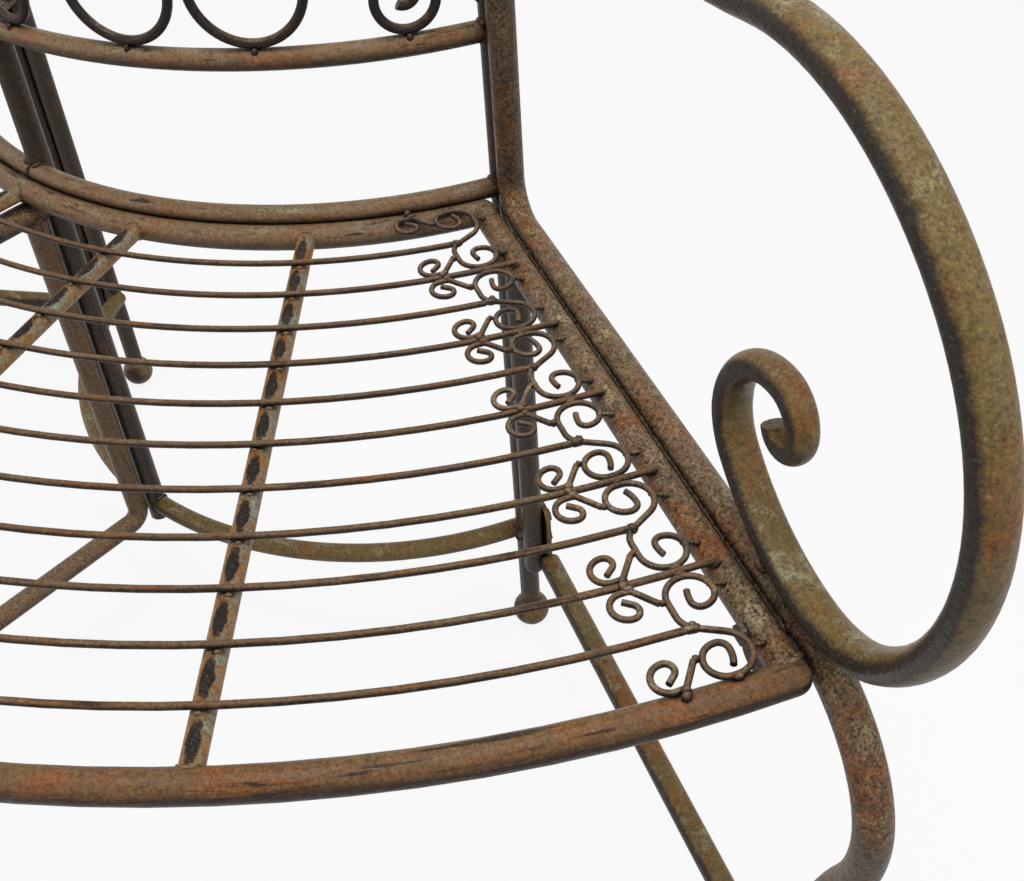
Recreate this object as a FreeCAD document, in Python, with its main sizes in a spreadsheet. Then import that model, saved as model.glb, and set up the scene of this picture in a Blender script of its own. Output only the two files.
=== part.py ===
"""Tree bench: two bays of wrought metal seating that stand round part of a trunk.

Frame: origin on the floor under the middle front foot, +Z up, the sitter faces -Y in the middle of the bench.
The pieces are drawn round the trunk axis, and moved to that origin when they are written. A bench angle is
counted round the trunk axis from -Y towards +X. Lengths are millimetres, angles are degrees.
"""
import FreeCAD, Part
import math
import os

from FreeCAD import Placement, Rotation, Vector

WIRES = 11
UP = Vector(0, 0, 1)

# Turns that the rods and tubes are bent through
S_LEAN = 60
S_PASS_TIP_TURN = 30
S_SIDE_TIP_TURN = 20
J_TAIL_TURN = 53
J_TIP_TURN = 50
LYRE_LEAN = 6
LYRE_TIP_TURN = 150
SIDE_TIP_TURN = 120
ARM_LEAN = 10
ARM_TIP_TURN = 70
CALF_TURN = 22
ANKLE_TURN = 52

SIZES = {
    # Seat, round the trunk axis
    "bay_angle": 60,
    "seat_height": 458,
    "first_wire_radius": 376,
    "wire_pitch": 34,
    "wire_dia": 4,
    "wire_landing": 4.3,
    "wire_stop": 5.5,
    "rail_tube": 17,
    "end_rail_tube": 16.6,
    "rail_drop": 9,
    "cross_bar_dia": 12,
    "outer_bar_angle": 39.5,
    "inner_bar_angle": 18.9,
    # Scrolls between the seat wires and the end rails
    "seat_rod": 3.4,
    "tack_gap": 0.05,
    "scroll_perch": 12.7,
    "back_scroll_run": 7.6,
    "s_middle": 31,
    "s_pass_bend": 13,
    "s_wire_run": 2,
    "s_curl_outer": 9.8,
    "s_curl_mid": 9.5,
    "s_curl_inner": 5,
    "s_curl_tip": 18,
    "s_side_bend": 10.6,
    "s_side_run": 8.7,
    "s_side_mid": 8.8,
    "s_side_inner": 4.6,
    "s_side_tip": 20,
    "j_reach": 54.4,
    "j_curl_outer": 8,
    "j_curl_mid": 8.2,
    "j_curl_inner": 4.4,
    "j_tip_run": 5.5,
    "j_wire_run": 3,
    "j_tail_bend": 4,
    "j_stroke": 13.8,
    # Back frame
    "post_tube": 17,
    "back_tube": 14,
    "bottom_rail_rise": 1,
    "mid_rail_rise": 112,
    "top_rail_rise": 420,
    "post_stub": 12,
    "ring_tube": 16,
    "ring_height": 118,
    # Back scrolls
    "back_rod": 6.3,
    "lyre_bowl": 35,
    "lyre_curl_outer": 29,
    "lyre_curl_mid": 21,
    "lyre_curl_inner": 12,
    "lyre_lean_run": 24.5,
    "lyre_straighten": 80,
    "side_scroll_gap": 3.5,
    "side_bowl": 19,
    "side_curl_outer": 15,
    "side_curl_mid": 11,
    "side_curl_inner": 8,
    "strut_rod": 5.5,
    "strut_rise": 45,
    # End frames
    "side_tube": 18,
    "side_gap": 1.8,
    "side_bend": 26,
    "upright_stub": 18,
    "rear_leg_tube": 17,
    "rear_leg_clear": 92,
    "leg_tube": 19,
    "leg_setback": 23.7,
    "leg_knee": 75,
    "leg_calf": 120,
    "ball_dia": 32,
    "foot_flat": 1.2,
    # Armrests, an oval bar
    "arm_width": 20,
    "arm_depth": 16,
    "arm_tip_width": 13,
    "arm_tip_depth": 11,
    "arm_foot_set": 8,
    "arm_front_low": 66.5,
    "arm_front_mid": 133,
    "arm_front_high": 125.4,
    "arm_top": 161.6,
    "arm_saddle": 536,
    "arm_heel": 112,
    "arm_scroll_back": 33.5,
    "arm_scroll_outer": 42,
    "arm_scroll_mid": 18,
    "arm_scroll_inner": 14,
    "arm_scroll_tip": 9,
    # Stretchers and the middle frame
    "stretcher_tube": 18,
    "stretcher_height": 98,
    "tab_thick": 4,
    "tab_width": 22,
    "tab_rise": 61,
    "tab_low_bolt": 25,
    "tab_bolt_pitch": 23,
    "middle_bend": 12,
    "middle_stretcher_height": 113,
    # Fasteners
    "bolt_dia": 6,
    "bolt_head": 10,
    "bolt_head_thick": 3,
    "rear_bolt_set": 28,
    "front_bolt_inset": 7,
    "lug_thick": 4,
    "lug_width": 22,
    "lug_drop": 30,
    "lug_hole": 8,
    "lug_inset": 32,
}

doc = FreeCAD.newDocument("tree_bench")
sheet = doc.addObject("Spreadsheet::Sheet", "Sizes")
for row, (alias, value) in enumerate(SIZES.items(), start=1):
    sheet.set("A%d" % row, alias)
    sheet.set("B%d" % row, str(value))
    sheet.setAlias("B%d" % row, alias)
doc.recompute()
nodes = {}


def mm(alias):
    """A driving dimension, read from the sheet."""
    return float(sheet.get(alias))


def sine(angle):
    return math.sin(math.radians(angle))


def cosine(angle):
    return math.cos(math.radians(angle))


def outward(angle):
    """Unit vector away from the trunk axis at a bench angle."""
    return Vector(sine(angle), -cosine(angle), 0)


def around(angle):
    """Unit vector along the bench, towards larger bench angles."""
    return Vector(cosine(angle), sine(angle), 0)


# Values that the pieces share, worked out from the sheet
BAY = mm("bay_angle")
WIRE_Z = mm("seat_height") - mm("wire_dia") / 2
RAIL_Z = WIRE_Z - mm("rail_drop")
BAR_Z = WIRE_Z - (mm("wire_dia") + mm("cross_bar_dia")) / 2
# Two rods of the seat ends that touch side by side
TOUCH = (mm("seat_rod") + mm("wire_dia")) / 2 + mm("tack_gap")
# Plan distance from an end rail's centre to the S scrolls, which weld pegs hold
PERCH = mm("scroll_perch")
# Plan distance from the front or back rail's centre to a scroll rod that rests on its shoulder
SHOULDER = math.sqrt(((mm("rail_tube") + mm("seat_rod")) / 2 + mm("tack_gap")) ** 2 - mm("rail_drop") ** 2)
LAST_WIRE = mm("first_wire_radius") + (WIRES - 1) * mm("wire_pitch")
FRONT_UNIT = LAST_WIRE + mm("wire_pitch")
BACK_UNIT = mm("first_wire_radius") - mm("wire_pitch") - mm("back_scroll_run")
FRONT_RAIL = FRONT_UNIT - TOUCH + SHOULDER
BACK_RAIL = BACK_UNIT + TOUCH - SHOULDER
SIDE_OFFSET = (mm("end_rail_tube") + mm("side_tube")) / 2 + mm("side_gap")
# The bottom rail of the back rests on the rear shoulder of the seat's back rail
BACK_RADIUS = BACK_RAIL - math.sqrt(((mm("rail_tube") + mm("back_tube")) / 2 + mm("tack_gap")) ** 2
                                    - (mm("rail_drop") + mm("bottom_rail_rise")) ** 2)
UPRIGHT_REACH = BACK_RADIUS + (mm("post_tube") + mm("side_tube")) / 2 + mm("tack_gap")
# The middle post stands behind the back rail, and the middle rear leg in front of the post
MIDDLE_POST = BACK_RAIL - (mm("rail_tube") + mm("post_tube")) / 2 - mm("tack_gap")
MIDDLE_REACH = MIDDLE_POST + (mm("post_tube") + mm("rear_leg_tube")) / 2 + mm("side_gap")
LEG_START = FRONT_RAIL - mm("leg_setback")
BALL_Z = mm("ball_dia") / 2 - mm("foot_flat")
MID_RAIL_Z = WIRE_Z + mm("mid_rail_rise")
TOP_RAIL_Z = WIRE_Z + mm("top_rail_rise")
SUPPORT_Z = RAIL_Z - (mm("rail_tube") + mm("side_tube")) / 2
# The end posts stand just outside the bays, in the plane of the end frames
END_POST_ANGLE = BAY + math.degrees(math.atan2(SIDE_OFFSET, BACK_RADIUS))


def keep(node, item):
    """Make an object of the document the sub-part with this name."""
    item.Label = node
    nodes[node] = item
    return item


def primitive(kind, name, placement, **sizes):
    """A Part primitive whose sizes are expressions on the sheet."""
    item = doc.addObject("Part::" + kind, name)
    for prop, expression in sizes.items():
        item.setExpression(prop, expression)
    item.Placement = placement
    return item


def arc_rod(name, radius, tube, start, end, height):
    """A rod bent round the trunk axis between two bench angles."""
    item = primitive("Torus", name, Placement(Vector(0, 0, height), Rotation(UP, start - 90)),
                     Radius2="Sizes.%s / 2" % tube)
    item.Radius1 = radius
    item.Angle3 = end - start
    return item


def straight_rod(name, start, end, tube):
    """A straight rod between two points."""
    item = primitive("Cylinder", name, Placement(start, Rotation(UP, end - start)),
                     Radius="Sizes.%s / 2" % tube)
    item.Height = (end - start).Length
    return item


def ball(name, centre, tube):
    """A ball that rounds off the end of a tube."""
    return primitive("Sphere", name, Placement(centre, Rotation()), Radius="Sizes.%s / 2" % tube)


def boolean(kind, name, base, tool):
    item = doc.addObject("Part::" + kind, name)
    item.Base = base
    item.Tool = tool
    return item


def joined(name, pieces):
    """Pieces of one welded or bent tube, as one solid."""
    result = pieces[0]
    for piece in pieces[1:]:
        result = boolean("Fuse", name, result, piece)
    return result


def coped(name, piece, neighbours):
    """A piece whose ends are cut to the tubes that it meets."""
    result = piece
    for neighbour in neighbours:
        result = boolean("Cut", name, result, neighbour)
    return result


def shaped(name, shape, placement=Placement()):
    """A piece made by bending, which no primitive gives."""
    item = doc.addObject("Part::Feature", name)
    item.Shape = shape
    item.Placement = placement
    return item


def mirror_image(name, source):
    """The left-hand twin of a right-hand piece."""
    item = doc.addObject("Part::Mirroring", name)
    item.Source = source
    item.Normal = Vector(1, 0, 0)
    return item


def both_sides(stem, item):
    """Keep a right-hand piece and its left-hand twin."""
    keep(stem + "_right", item)
    return keep(stem + "_left", mirror_image(stem + "_left", item))


def group(node, pieces):
    """Separate solids of one kind in one node."""
    item = doc.addObject("Part::Compound", node)
    item.Links = pieces
    return keep(node, item)


def trace(start, heading, steps):
    """Edges of a bent rod's centre line in the XY plane, with the point and heading where it ends.

    A step is a length to run straight, or a pair: bend radius and turn in degrees, positive to the left.
    """
    edges = []
    here = Vector(start[0], start[1], 0)
    for step in steps:
        if isinstance(step, tuple):
            radius, turn = step
            towards = Vector(-sine(heading), cosine(heading), 0) * math.copysign(radius, turn)
            centre = here + towards
            middle = centre - Rotation(UP, turn / 2).multVec(towards)
            there = centre - Rotation(UP, turn).multVec(towards)
            edges.append(Part.Arc(here, middle, there).toShape())
            heading += turn
        else:
            there = here + Vector(cosine(heading), sine(heading), 0) * step
            edges.append(Part.LineSegment(here, there).toShape())
        here = there
    return edges, here, heading


def round_rod(edges, dia):
    """A round rod along connected edges."""
    path = Part.Wire(Part.sortEdges(edges)[0])
    first = path.OrderedEdges[0]
    start = first.FirstParameter
    section = Part.makeCircle(dia / 2, first.valueAt(start), first.tangentAt(start))
    return path.makePipeShell([Part.Wire([section])], True, False)


def oval(centre, heading, width, depth):
    """Oval section of the armrest, its width square to the plane that the bar is bent in."""
    inward = Vector(-sine(heading), cosine(heading), 0)
    if width > depth:
        curve = Part.Ellipse(centre + UP * (width / 2), centre + inward * (depth / 2), centre)
    else:
        curve = Part.Ellipse(centre + inward * (depth / 2), centre + UP * (width / 2), centre)
    return Part.Wire([curve.toShape()])


def upright_plane(angle, offset):
    """Placement of a frame's plane: X away from the trunk, Y up, moved along the bench by the offset."""
    along = outward(angle)
    return Placement(around(angle) * offset, Rotation(along, UP, along.cross(UP), "XYZ"))


def back_plane(angle, height):
    """Placement of a plane that touches the back's curve: X along the bench, Y up."""
    along = around(angle)
    return Placement(outward(angle) * BACK_RADIUS + UP * height,
                     Rotation(along, UP, along.cross(UP), "XYZ"))


def seat_end_plane():
    """Placement of the right seat end: X along the end rail away from the trunk, Y in from its centre."""
    along = outward(BAY)
    inward = around(BAY) * -1
    return Placement(UP * WIRE_Z, Rotation(along, inward, along.cross(inward), "XYZ"))


END_FRAME = upright_plane(BAY, SIDE_OFFSET)
MIDDLE_FRAME = upright_plane(0, 0)


def wire_radius(number):
    return mm("first_wire_radius") + (number - 1) * mm("wire_pitch")


def seat_rails():
    """Front and back rails with rounded corners, and the end rails coped between them."""
    rails = []
    for node, radius in (("seat_front_rail", FRONT_RAIL), ("seat_back_rail", BACK_RAIL)):
        pieces = [arc_rod(node + "_arc", radius, "rail_tube", -BAY, BAY, RAIL_Z)]
        for angle in (-BAY, BAY):
            pieces.append(ball(node + "_corner", outward(angle) * radius + UP * RAIL_Z, "rail_tube"))
        rails.append(keep(node, joined(node, pieces)))
    end = straight_rod("end_rail_bar", outward(BAY) * BACK_RAIL + UP * RAIL_Z,
                       outward(BAY) * FRONT_RAIL + UP * RAIL_Z, "end_rail_tube")
    return rails, coped("end_rail", end, rails)


def cross_bars(rails):
    outer = mm("outer_bar_angle")
    inner = mm("inner_bar_angle")
    angles = [-outer, -inner, 0, inner, outer]
    for number, angle in enumerate(angles, start=1):
        node = "seat_cross_bar_%d" % number
        bar = straight_rod(node + "_bar", outward(angle) * BACK_RAIL + UP * BAR_Z,
                           outward(angle) * FRONT_RAIL + UP * BAR_Z, "cross_bar_dia")
        keep(node, coped(node, bar, rails))


def turned_over(number):
    """Every second S scroll is turned over, so that neighbours face each other."""
    return number % 4 == 1


def s_pass_bends():
    """Straight lead of an S scroll towards the rail, and the bend that takes it to the next wire."""
    bend = mm("s_pass_bend")
    lead = (mm("s_middle") - PERCH - bend * (1 - cosine(S_LEAN))) / sine(S_LEAN)
    return lead, mm("wire_pitch") - TOUCH - lead * cosine(S_LEAN) - bend * sine(S_LEAN)


def s_centre(number):
    """Middle of an S scroll. The wires curve away from the square to the rail, so it follows them."""
    touch_reach = PERCH + s_pass_bends()[1] + mm("s_wire_run") / 2
    return Vector(math.sqrt(wire_radius(number) ** 2 - touch_reach ** 2), mm("s_middle"), 0)


def s_scroll(number):
    """One S scroll at the end of an odd wire: one curl entered along the rail, one from the wire's side."""
    run = mm("back_scroll_run") if number == 1 else 0
    lead, wire_bend = s_pass_bends()
    curl = [lead, (mm("s_pass_bend"), S_LEAN)] + ([run] if run else []) + [
        (wire_bend, 90), mm("s_wire_run"), (mm("s_curl_outer"), 90), (mm("s_curl_mid"), 90),
        (mm("s_curl_inner"), 90), (mm("s_curl_tip"), S_PASS_TIP_TURN)]
    side_bend = mm("s_side_bend")
    side_wire_bend = mm("wire_pitch") - TOUCH - side_bend * sine(S_LEAN) - mm("s_side_run")
    rail_bend = mm("s_middle") + side_bend * (1 - cosine(S_LEAN)) - side_wire_bend - PERCH
    side_curl = [(side_bend, S_LEAN), mm("s_side_run"), (side_wire_bend, 90), (rail_bend, 90),
                 (mm("s_side_mid"), 90), (mm("s_side_inner"), 90), (mm("s_side_tip"), S_SIDE_TIP_TURN)]
    centre = s_centre(number)
    rod = round_rod(trace(centre, -S_LEAN, curl)[0] + trace(centre, 180 - S_LEAN, side_curl)[0],
                    mm("seat_rod"))
    if turned_over(number):
        rod = rod.mirror(centre, Vector(1, 0, 0))
    return rod


def j_scroll(unit_radius, direction):
    """One J scroll: a stroke from the big curl to the wire, then a curl away from the rail."""
    reach = mm("j_reach")
    # The wire curves away from the straight run, so the near end of the run is the one that touches it
    touch_reach = reach if direction < 0 else reach - mm("j_wire_run")
    base = math.sqrt(unit_radius ** 2 - touch_reach ** 2)
    start = (TOUCH, reach)
    curl = trace(start, 90, [(mm("j_curl_outer"), -90), (mm("j_curl_mid"), -90),
                             (mm("j_curl_inner"), -90 - J_TIP_TURN), mm("j_tip_run")])[0]
    tail = trace(start, -90, [mm("j_wire_run"), (mm("j_tail_bend"), J_TAIL_TURN), mm("j_stroke")])[0]
    rod = round_rod(curl + tail, mm("seat_rod"))
    if direction < 0:
        rod = rod.mirror(Vector(0, 0, 0), Vector(1, 0, 0))
    rod.translate(Vector(base, 0, 0))
    return rod


def seat_scrolls():
    big = [s_scroll(number) for number in range(1, WIRES + 1, 2)]
    small = []
    for unit in range(0, WIRES + 2, 2):
        radius = {0: BACK_UNIT, WIRES + 1: FRONT_UNIT}.get(unit, wire_radius(unit))
        for direction in (-1, 1):
            inside_seat = (unit > 0 or direction > 0) and (unit <= WIRES or direction < 0)
            if inside_seat:
                small.append(j_scroll(radius, direction))
    place = seat_end_plane()
    both_sides("seat_s_scrolls", shaped("seat_s_scrolls", Part.makeCompound(big), place))
    both_sides("seat_j_scrolls", shaped("seat_j_scrolls", Part.makeCompound(small), place))


def seat_wires():
    """Even wires land on the end rails; odd ones stop square against the middle of an S scroll."""
    for number in range(1, WIRES + 1):
        node = "seat_wire_%02d" % number
        radius = wire_radius(number)
        odd = number % 2 == 1
        short = mm("s_middle") + mm("wire_stop") if odd else mm("wire_landing")
        end = BAY - math.degrees(math.asin(short / radius))
        wire = arc_rod(node + "_rod", radius, "wire_dia", -end, end, WIRE_Z)
        rails = [] if odd else [nodes["seat_end_rail_right"], nodes["seat_end_rail_left"]]
        keep(node, coped(node, wire, rails))


def back_posts():
    """Posts with rounded tops; the end ones stand on ball feet."""
    posts = []
    for name, place, bottom in (
            ("right", END_FRAME.multVec(Vector(BACK_RADIUS, 0, 0)), BALL_Z),
            ("middle", outward(0) * MIDDLE_POST, mm("ring_height") - mm("ring_tube"))):
        top = TOP_RAIL_Z + mm("post_stub")
        stem = straight_rod("post_%s_bar" % name, place + UP * bottom, place + UP * top, "post_tube")
        cap = ball("post_%s_cap" % name, place + UP * top, "post_tube")
        posts.append(joined("post_" + name, [stem, cap]))
    return posts


def back_rails(posts):
    """Rails and ring stretchers of one bay, coped between its posts."""
    for stem, radius, tube, height in (
            ("back_bottom_rail", BACK_RADIUS, "back_tube", WIRE_Z + mm("bottom_rail_rise")),
            ("back_mid_rail", BACK_RADIUS, "back_tube", MID_RAIL_Z),
            ("back_top_rail", BACK_RADIUS, "back_tube", TOP_RAIL_Z),
            ("ring_stretcher", MIDDLE_POST, "ring_tube", mm("ring_height"))):
        rod = arc_rod(stem + "_arc", radius, tube, 0, END_POST_ANGLE, height)
        both_sides(stem, coped(stem, rod, posts))


def back_scroll(angle, side, outer, inner):
    """A scroll between middle and top rail, alike at both ends, in its own plane of the back.

    side is +1 where the panel's middle is towards larger bench angles.
    """
    base = MID_RAIL_Z + (mm("back_tube") + mm("back_rod")) / 2
    height = TOP_RAIL_Z - MID_RAIL_Z - mm("back_tube") - mm("back_rod")
    half = trace((0, 0), 180, [(radius, -turn) for radius, turn in outer])[0]
    half += inner(height / 2)
    whole = half + [edge.mirror(Vector(0, height / 2, 0), Vector(0, 1, 0)) for edge in half]
    rod = round_rod(whole, mm("back_rod"))
    if side < 0:
        rod = rod.mirror(Vector(0, 0, 0), Vector(1, 0, 0))
    rod.Placement = back_plane(angle, base)
    return rod


def lyre_reach():
    """Distance along the bench from a lyre's bowl to the middle of the panel, where two lyres touch."""
    stem = (mm("lyre_bowl") * cosine(LYRE_LEAN) + mm("lyre_lean_run") * sine(LYRE_LEAN)
            + mm("lyre_straighten") * (1 - cosine(LYRE_LEAN)))
    return stem + mm("back_rod") / 2 + mm("tack_gap")


def lyre_stem(half_height):
    """From the bowl's bottom up to the middle of the panel's height."""
    bowl = mm("lyre_bowl")
    run = mm("lyre_lean_run")
    bend = mm("lyre_straighten")
    risen = bowl * (1 - sine(LYRE_LEAN)) + run * cosine(LYRE_LEAN) + bend * sine(LYRE_LEAN)
    return trace((0, 0), 0, [(bowl, 90 - LYRE_LEAN), run, (bend, LYRE_LEAN), half_height - risen])[0]


def side_stem(half_height):
    """From the small bowl's bottom, up beside the post. It leaves on the post's side."""
    bowl = mm("side_bowl")
    return trace((0, 0), 0, [(bowl, 90), half_height - bowl])[0]


def back_scrolls(posts):
    panel = BAY / 2
    lyre_curl = [(mm("lyre_bowl"), 90), (mm("lyre_curl_outer"), 90), (mm("lyre_curl_mid"), 90),
                 (mm("lyre_curl_inner"), LYRE_TIP_TURN)]
    side_curl = [(mm("side_bowl"), 90), (mm("side_curl_outer"), 90), (mm("side_curl_mid"), 90),
                 (mm("side_curl_inner"), SIDE_TIP_TURN)]
    lyre_angle = math.degrees(math.atan(lyre_reach() / BACK_RADIUS))
    post_reach = (mm("post_tube") + mm("back_rod")) / 2 + mm("side_scroll_gap") + mm("side_bowl")
    side_angle = panel - math.degrees(math.atan(post_reach / BACK_RADIUS))
    lyres = []
    sides = []
    for side in (-1, 1):
        lyres.append(back_scroll(panel - side * lyre_angle, side, lyre_curl, lyre_stem))
        sides.append(back_scroll(panel + side * side_angle, side, side_curl, side_stem))
    both_sides("lyre_scrolls", shaped("lyre_scrolls", Part.makeCompound(lyres)))
    both_sides("side_scrolls", shaped("side_scrolls", Part.makeCompound(sides)))
    corner = outward(END_POST_ANGLE) * BACK_RADIUS
    foot = corner + UP * (MID_RAIL_Z + mm("back_tube") / 2 + mm("strut_rod"))
    place = back_plane(panel + side_angle, MID_RAIL_Z + mm("back_tube") / 2)
    head = place.multVec(Vector(mm("side_bowl"), mm("strut_rise"), 0))
    strut = straight_rod("corner_strut_bar", foot, head, "strut_rod")
    both_sides("corner_strut", coped("corner_strut", strut, [posts[0], nodes["side_scrolls_right"]]))


def side_rail(top):
    """The end frame's upright, bent at the seat into the outer side rail."""
    bend = mm("side_bend")
    edges = trace((UPRIGHT_REACH, top), -90, [top - RAIL_Z - bend, (bend, 90),
                                              LEG_START - UPRIGHT_REACH - bend])[0]
    cap = Part.makeSphere(mm("side_tube") / 2, Vector(UPRIGHT_REACH, top, 0))
    return round_rod(edges, mm("side_tube")).fuse(cap)


def front_leg(start_z):
    """Knee, calf and ankle of a front leg from the end of its rail; the ankle reaches the floor."""
    knee = mm("leg_knee")
    calf = mm("leg_calf")
    drop = start_z - knee - calf * sine(CALF_TURN) - BALL_Z
    ankle = drop / (sine(CALF_TURN) + sine(ANKLE_TURN - CALF_TURN))
    edges, foot, _ = trace((LEG_START, start_z), 0, [(knee, -90), (calf, -CALF_TURN), (ankle, ANKLE_TURN)])
    centre = Vector(LEG_START + knee - calf + (calf + ankle) * cosine(CALF_TURN),
                    start_z - knee - (calf + ankle) * sine(CALF_TURN), 0)

    def reach(height):
        """Distance of the ankle's centre line from the trunk axis at a height."""
        return centre.x - math.sqrt(ankle ** 2 - (height - centre.y) ** 2)

    ankle_ball = Part.makeSphere(mm("ball_dia") / 2, foot)
    return round_rod(edges, mm("leg_tube")).cut(ankle_ball), foot, reach


def armrest():
    """Oval bar: saddle from the upright, front C down to the rail, heel, and a scroll with a tapered tip."""
    foot = (LEG_START + mm("arm_foot_set"), RAIL_Z + (mm("leg_tube") + mm("arm_depth")) / 2)
    rise, top, heading = trace(foot, 0, [(mm("arm_front_low"), 45), (mm("arm_front_mid"), 45),
                                         (mm("arm_front_high"), 45), (mm("arm_top"), 45 + ARM_LEAN)])
    saddle = mm("arm_saddle")
    slope = math.degrees(math.asin((top.x - UPRIGHT_REACH) / saddle - sine(ARM_LEAN)))
    back, rear, _ = trace((top.x, top.y), heading, [(saddle, -(ARM_LEAN + slope))])
    heel, waist, turned = trace(foot, 180, [(mm("arm_heel"), -45), (mm("arm_scroll_back"), -45)])
    main = Part.Wire(Part.sortEdges(rise + back + heel)[0])
    width = mm("arm_width")
    depth = mm("arm_depth")
    bar = main.makePipeShell([oval(waist, turned, width, depth)], True, False)
    curl, tip, tip_turned = trace((waist.x, waist.y), turned, [
        (mm("arm_scroll_outer"), -90), (mm("arm_scroll_mid"), -90),
        (mm("arm_scroll_inner"), -90), (mm("arm_scroll_tip"), -ARM_TIP_TURN)])
    scroll = Part.Wire(curl).makePipeShell([
        oval(waist, turned, width, depth),
        oval(tip, tip_turned, mm("arm_tip_width"), mm("arm_tip_depth"))], True, False)
    return bar.fuse(scroll), rear


def hexagon():
    """A six-sided bolt head, standing on the XY plane."""
    radius = mm("bolt_head") / math.sqrt(3)
    points = [Vector(radius * cosine(60 * n), radius * sine(60 * n), 0) for n in range(7)]
    return Part.Face(Part.makePolygon(points)).extrude(UP * mm("bolt_head_thick"))


def bolt(seat, length, flip):
    """A bolt in a frame's plane: its head sits at the point, on the seat's side, or outside if flipped."""
    shank = Part.makeCylinder(mm("bolt_dia") / 2, length, Vector(0, 0, 0), UP * -1)
    item = hexagon().fuse(shank)
    item.Placement = Placement(seat, Rotation(Vector(1, 0, 0), 180 if flip else 0))
    return item


def tongue(reach, square_end, round_end, width, middle, thick):
    """A flat plate in a frame's plane, square at one height and half round about a point at the other."""
    half = width / 2
    base = middle - thick / 2
    tip = math.copysign(half, round_end - square_end)
    corners = [Vector(reach - half, round_end, base), Vector(reach - half, square_end, base),
               Vector(reach + half, square_end, base), Vector(reach + half, round_end, base)]
    edges = [Part.LineSegment(a, b).toShape() for a, b in zip(corners, corners[1:])]
    edges.append(Part.Arc(corners[3], Vector(reach, round_end + tip, base), corners[0]).toShape())
    return Part.Face(Part.Wire(edges)).extrude(UP * thick)


def rear_leg(rail):
    """Tube under the end frame's upright, coped to its bend, with a rounded lower end."""
    radius = mm("rear_leg_tube") / 2
    low = Vector(UPRIGHT_REACH, mm("rear_leg_clear"), 0)
    length = RAIL_Z + mm("side_bend") / 2 - mm("rear_leg_clear")
    tube = Part.makeCylinder(radius, length, low, Vector(0, 1, 0))
    return tube.fuse(Part.makeSphere(radius, low)).cut(rail)


def radial_stretcher(reach):
    """Tube whose flattened ends stand against the outer side of the legs, with its bolts."""
    height = mm("stretcher_height")
    thick = mm("tab_thick")
    low_bolt = height + mm("tab_low_bolt")
    high_bolt = low_bolt + mm("tab_bolt_pitch")
    front = reach((low_bolt + high_bolt) / 2)
    # In this plane the local Z points in towards the seat, so outer things have a negative offset
    ends = [(UPRIGHT_REACH, mm("rear_leg_tube")), (front, mm("leg_tube"))]
    start = UPRIGHT_REACH + mm("rear_leg_tube") / 2
    item = Part.makeCylinder(mm("stretcher_tube") / 2, front - mm("leg_tube") / 2 - start,
                             Vector(start, height, -(mm("rear_leg_tube") + thick) / 2), Vector(1, 0, 0))
    bolts = []
    for place, leg in ends:
        item = item.fuse(tongue(place, height - mm("stretcher_tube") / 2,
                                height + mm("tab_rise") - mm("tab_width") / 2,
                                mm("tab_width"), -(leg + thick) / 2, thick))
        for bolt_height in (low_bolt, high_bolt):
            bolts.append(bolt(Vector(place, bolt_height, -leg / 2 - thick), thick + leg / 2, True))
    bolts = Part.makeCompound(bolts)
    return item.cut(bolts), bolts


def seat_fixings():
    """Bolts through the end rail into the side rail, with their heads on the seat's side."""
    head = SIDE_OFFSET + mm("end_rail_tube") / 2
    places = (UPRIGHT_REACH + mm("side_bend") + mm("rear_bolt_set"), LEG_START - mm("front_bolt_inset"))
    return Part.makeCompound([bolt(Vector(place, RAIL_Z, head), head, False) for place in places])


def end_frames():
    """Side rail, armrest, legs and stretcher in the plane of the right end frame, with their fasteners."""
    leg, foot, reach = front_leg(RAIL_Z)
    arm, arm_rear = armrest()
    rail = side_rail(arm_rear.y + mm("upright_stub"))
    stretcher, stretcher_bolts = radial_stretcher(reach)
    seat_bolts = seat_fixings()
    right = {
        "side_rail": rail.cut(seat_bolts),
        "front_leg": leg.cut(stretcher_bolts),
        "rear_leg": rear_leg(rail).cut(stretcher_bolts),
        "armrest": arm.cut(rail),
        "radial_stretcher": stretcher,
    }
    for stem, shape in right.items():
        both_sides(stem, shaped(stem, shape, END_FRAME))
    return foot, stretcher_bolts, seat_bolts


def middle_frame():
    """Seat support, rear leg bent into the stretcher, and the front leg, in the middle plane."""
    leg, foot, reach = front_leg(SUPPORT_Z)
    rear_end = Vector(MIDDLE_POST + mm("post_tube") / 2 + mm("tack_gap"), SUPPORT_Z, 0)
    support = Part.makeCylinder(mm("side_tube") / 2, LEG_START - rear_end.x, rear_end, Vector(1, 0, 0))
    low = mm("middle_stretcher_height")
    bend = mm("middle_bend")
    edges = trace((MIDDLE_REACH, SUPPORT_Z), -90, [
        SUPPORT_Z - low - bend, (bend, 90), reach(low) - MIDDLE_REACH - bend])[0]
    rear = round_rod(edges, mm("rear_leg_tube")).cut(support).cut(leg)
    pieces = {"middle_support_rail": support, "middle_rear_leg": rear, "front_leg_middle": leg}
    for node, shape in pieces.items():
        keep(node, shaped(node, shape, MIDDLE_FRAME))
    return foot


def ball_foot(name, place):
    """A ball with a flat under it, its centre just low enough for the flat to meet the floor."""
    return primitive("Sphere", name, Placement(Vector(place.x, place.y, BALL_Z), Rotation()),
                     Radius="Sizes.ball_dia / 2",
                     Angle1="-asin(1 - 2 * Sizes.foot_flat / Sizes.ball_dia)")


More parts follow.
